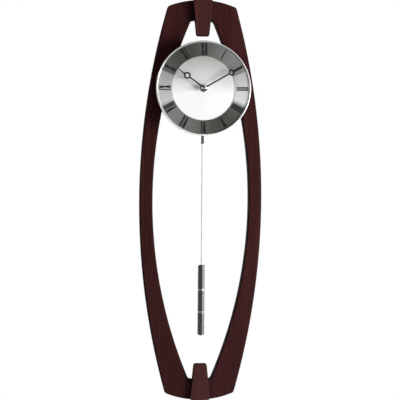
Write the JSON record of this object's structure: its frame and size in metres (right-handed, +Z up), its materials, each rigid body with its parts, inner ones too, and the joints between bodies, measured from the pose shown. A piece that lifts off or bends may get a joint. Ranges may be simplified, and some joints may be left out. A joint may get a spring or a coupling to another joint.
{
  "type": "pendulum wall clock",
  "caption": "Tall wall clock: two bowed dark wooden sides, a round silver dial with Roman numerals near the top, and a slim pendulum with a cylindrical bob in the open window.",
  "frame": {"origin": "centre of the round keyhole in the hanger plate, on the back face of the frame", "axes": "+Z up, -Y towards the room (the dial faces -Y), +X to the right for someone facing the dial"},
  "size_m": [0.215, 0.0562, 0.7],
  "materials": {
    "bow_wood": "dark red-brown stained veneer under satin lacquer",
    "keystone_wood": "slightly lighter red-brown stained veneer under satin lacquer",
    "dowel_wood": "bare beech",
    "zinc_screws": "zinc plated",
    "hanger_steel": "zinc plated",
    "felt": "pressed felt",
    "drum_plastic": "fine texture",
    "dial_silver": "spun silver, matt lacquered",
    "ring_brushed": "brushed around the ring",
    "bezel_polished": "polished",
    "case_plastic": "moulded",
    "cover_plastic": "moulded",
    "movement_brass": "turned",
    "nut_plated": "nickel plated",
    "plate_steel": "stamped",
    "pin_steel": "ground",
    "stator_steel": "laminated",
    "coil_copper": "enamelled copper wire",
    "rotor_ferrite": "ferrite on a plastic pinion",
    "wheel_plastic": "moulded acetal",
    "motion_plastic": "moulded acetal",
    "knob_plastic": "moulded",
    "hands_black": "satin black lacquer",
    "cap_polished": "polished",
    "board_green": "solder resist",
    "tinned": "tinned",
    "cell_wrap": "plain printed wrap on a steel can",
    "lever_plastic": "moulded",
    "magnet_grey": "nickel plated magnet",
    "coupling_grey": "moulded",
    "rod_steel": "drawn and polished",
    "bob_steel": "brushed around, under clear lacquer",
    "bob_ring_bright": "polished"
  },
  "bodies": {
    "clock_body": {"left_bow": "bow_wood", "right_bow": "bow_wood", "top_keystone": "keystone_wood", "bottom_keystone": "keystone_wood", "bow_dowels": "dowel_wood", "keystone_screws": "zinc_screws", "hanger_plate": "hanger_steel", "hanger_screws": "zinc_screws", "wall_pads": "felt", "dial_drum": "drum_plastic", "drum_screws": "zinc_screws", "dial_plate": "dial_silver", "hour_ring": "ring_brushed", "bezel": "bezel_polished", "front_case": "case_plastic", "rear_case": "cover_plastic", "case_screws": "zinc_screws", "threaded_bushing": "movement_brass", "dial_washer": "nut_plated", "fixing_nut": "nut_plated", "train_plate": "plate_steel", "minute_wheel_stud": "pin_steel", "stator": "stator_steel", "motor_coil": "coil_copper", "circuit_board": "board_green", "quartz_crystal": "tinned", "battery_contact": "tinned", "battery_spring": "tinned", "drive_coil": "coil_copper", "lever_pivot_pin": "pin_steel"},
    "rotor": {"rotor": "rotor_ferrite"},
    "first_wheel": {"first_wheel": "wheel_plastic"},
    "third_wheel": {"third_wheel": "wheel_plastic"},
    "centre_wheel": {"centre_wheel": "wheel_plastic"},
    "minute_arbor": {"minute_arbor": "pin_steel", "clutch_spring": "movement_brass", "arbor_clip": "pin_steel", "cannon_pinion": "movement_brass", "setting_knob": "knob_plastic", "minute_hand": "hands_black", "hand_cap": "cap_polished"},
    "minute_wheel": {"minute_wheel": "motion_plastic"},
    "hour_wheel": {"hour_wheel": "motion_plastic", "hour_hand": "hands_black"},
    "battery": {"battery": "cell_wrap"},
    "pendulum": {"swing_lever": "lever_plastic", "drive_magnet": "magnet_grey", "pendulum_coupling": "coupling_grey", "coupling_pin": "pin_steel", "pendulum_rod": "rod_steel", "bob_top_sleeve": "bob_steel", "bob_middle_sleeve": "bob_steel", "bob_bottom_sleeve": "bob_steel", "bob_rings": "bob_ring_bright", "bob_end_nut": "bob_steel"}
  },
  "joints": [
    {"name": "hands_turn", "type": "hinge", "parent": "clock_body", "child": "minute_arbor", "pos_m": [0, -0.03, -0.13411], "axis": [0, 1, 0], "continuous": true},
    {"name": "hour_hand_turn", "type": "hinge", "parent": "clock_body", "child": "hour_wheel", "pos_m": [0, -0.03, -0.13411], "axis": [0, 1, 0], "continuous": true},
    {"name": "minute_wheel_turn", "type": "hinge", "parent": "clock_body", "child": "minute_wheel", "pos_m": [0.01, -0.03, -0.13411], "axis": [0, 1, 0], "continuous": true},
    {"name": "rotor_turn", "type": "hinge", "parent": "clock_body", "child": "rotor", "pos_m": [0.0021, -0.03, -0.12118], "axis": [0, 1, 0], "continuous": true},
    {"name": "first_wheel_turn", "type": "hinge", "parent": "clock_body", "child": "first_wheel", "pos_m": [-0.00499, -0.03, -0.12244], "axis": [0, 1, 0], "continuous": true},
    {"name": "third_wheel_turn", "type": "hinge", "parent": "clock_body", "child": "third_wheel", "pos_m": [-0.00924, -0.03, -0.1298], "axis": [0, 1, 0], "continuous": true},
    {"name": "centre_wheel_turn", "type": "hinge", "parent": "clock_body", "child": "centre_wheel", "pos_m": [0, -0.03, -0.13411], "axis": [0, 1, 0], "continuous": true},
    {"name": "pendulum_swing", "type": "hinge", "parent": "clock_body", "child": "pendulum", "pos_m": [0, -0.03, -0.17211], "axis": [0, 1, 0], "range_deg": [-5, 5]},
    {"name": "battery_pull", "type": "slide", "parent": "clock_body", "child": "battery", "axis": [0, 1, 0], "range_m": [0, 0.036]}
  ],
  "couplings": [
    {"joint": "hour_hand_turn", "follows": "hands_turn", "ratio": 0.083333},
    {"joint": "minute_wheel_turn", "follows": "hands_turn", "ratio": -0.33333},
    {"joint": "first_wheel_turn", "follows": "rotor_turn", "ratio": -0.125},
    {"joint": "third_wheel_turn", "follows": "rotor_turn", "ratio": 0.016667},
    {"joint": "centre_wheel_turn", "follows": "rotor_turn", "ratio": -0.0022222}
  ]
}
